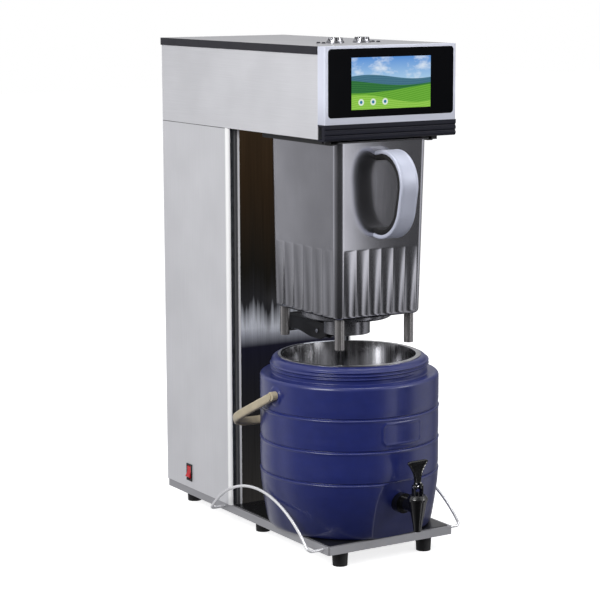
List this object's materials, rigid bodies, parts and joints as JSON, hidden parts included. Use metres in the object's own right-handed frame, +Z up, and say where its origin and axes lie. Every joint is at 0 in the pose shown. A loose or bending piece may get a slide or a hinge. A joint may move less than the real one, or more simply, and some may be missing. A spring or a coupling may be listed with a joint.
{
  "type": "iced tea maker",
  "caption": "Tall immersion tea brewer with a touch-screen head, a fluted steel brewing container with a D handle, and an insulated bucket with bail and lever tap on a low tray.",
  "frame": {"origin": "on the table, under the middle of the tray", "axes": "+Z up, -Y towards the user and the touch screen, +X to the user's right"},
  "size_m": [0.3366, 0.6492, 0.866],
  "materials": {
    "brushed_steel": "brushed stainless",
    "bright_steel": "polished stainless",
    "dark_steel": "dark mirror-like sheet",
    "chassis": "grey zinc",
    "black_rubber": "matt rubber",
    "tray_black": "satin",
    "edging": "satin",
    "screw": "dark nickel",
    "silver_fascia": "satin anodised",
    "black_glass": "gloss",
    "screen": "lit screen",
    "circuit": "green laminate",
    "lip_plastic": "satin",
    "black_metal": "powder coat",
    "valve_plastic": "moulded",
    "copper": "drawn",
    "rocker_red": "gloss",
    "black_plastic": "gloss",
    "container_steel": "brushed stainless",
    "spring_steel": "spring wire",
    "handle_silver": "silver lacquer",
    "grip_rubber": "matt",
    "bucket_blue": "satin",
    "foam": "rigid foam",
    "bail_cream": "satin"
  },
  "bodies": {
    "machine": {"base_pan": "brushed_steel", "tray_inlay": "tray_black", "feet": "black_rubber", "guard_wires": "bright_steel", "chassis": "chassis", "column_sides": "brushed_steel", "column_front": "dark_steel", "back_panel": "brushed_steel", "head_sides": "brushed_steel", "head_bottom": "chassis", "top_cover": "brushed_steel", "top_rim": "edging", "panel_screws": "screw", "vent_bases": "bright_steel", "vent_grilles": "black_plastic", "fascia_frame": "silver_fascia", "glass_panel": "black_glass", "lcd_module": "screen", "display_board": "circuit", "front_lip": "lip_plastic", "rails": "black_metal", "spray_head": "bright_steel", "brew_valve": "valve_plastic", "water_pipes": "copper", "boiler_tank": "bright_steel", "boiler_lid": "bright_steel", "heating_element": "copper", "inlet_fitting": "copper", "inlet_valve": "valve_plastic", "control_board": "circuit", "cable_gland": "black_plastic", "switch_housing": "black_plastic", "arm_bracket": "black_metal", "arm_pin": "bright_steel", "solenoid": "valve_plastic"},
    "rocker": {"power_rocker": "rocker_red"},
    "lever": {"valve_arm": "bright_steel"},
    "rod": {"solenoid_rod": "bright_steel"},
    "container": {"container_body": "container_steel", "container_rim": "bright_steel", "container_legs": "bright_steel", "drain_sump": "bright_steel", "strainer": "bright_steel", "drain_spring": "spring_steel", "handle_strap": "handle_silver", "handle_grip": "grip_rubber"},
    "plunger": {"drain_plunger": "bright_steel"},
    "bucket": {"bucket_shell": "bucket_blue", "bucket_foam": "foam", "bucket_liner": "bright_steel", "bail_pins": "bright_steel", "tap_body": "black_plastic", "tap_nut": "black_plastic", "tap_bonnet": "black_plastic", "tap_pin": "bright_steel", "tap_spring": "spring_steel"},
    "bail": {"bail": "bail_cream"},
    "tap_handle": {"tap_lever": "black_plastic"},
    "tap_valve": {"tap_stem": "black_plastic"}
  },
  "joints": [
    {"name": "rocker_tilt", "type": "hinge", "parent": "machine", "child": "rocker", "pos_m": [-0.124, 0.188, 0.0715], "axis": [0, -1, 0], "range_deg": [0, 24]},
    {"name": "container_slide", "type": "slide", "parent": "machine", "child": "container", "axis": [0, -1, 0], "range_m": [0, 0.18]},
    {"name": "bucket_slide", "type": "slide", "parent": "machine", "child": "bucket", "axis": [0, -1, 0], "range_m": [0, 0.15]},
    {"name": "drain_lever", "type": "hinge", "parent": "machine", "child": "lever", "pos_m": [0, -0.066, 0.361], "axis": [-1, 0, 0], "range_deg": [0, 6], "stiffness_Nm_per_rad": 1.75, "springref_deg": -7.51},
    {"name": "rod_travel", "type": "slide", "parent": "machine", "child": "rod", "axis": [0, -1, 0], "range_m": [0, 0.0012]},
    {"name": "drain_lift", "type": "slide", "parent": "container", "child": "plunger", "axis": [0, 0, 1], "range_m": [0, 0.0081], "deforming": ["drain_spring"]},
    {"name": "bail_swing", "type": "hinge", "parent": "bucket", "child": "bail", "pos_m": [0, -0.1485, 0.277], "axis": [0.9986, 0.0523, 0], "range_deg": [0, 43]},
    {"name": "tap_lever_pull", "type": "hinge", "parent": "bucket", "child": "tap_handle", "pos_m": [0.00994, -0.33824, 0.14], "axis": [0.9986, 0.0523, 0], "range_deg": [0, 60], "stiffness_Nm_per_rad": 0.00985, "springref_deg": -79.98},
    {"name": "tap_lift", "type": "slide", "parent": "bucket", "child": "tap_valve", "axis": [0, 0, 1], "range_m": [0, 0.0061], "deforming": ["tap_spring"]}
  ],
  "couplings": [
    {"joint": "rod_travel", "follows": "drain_lever", "m_per_rad": 0.01},
    {"joint": "drain_lift", "follows": "drain_lever", "m_per_rad": 0.0763},
    {"joint": "tap_lift", "follows": "tap_lever_pull", "m_per_rad": 0.00573}
  ]
}
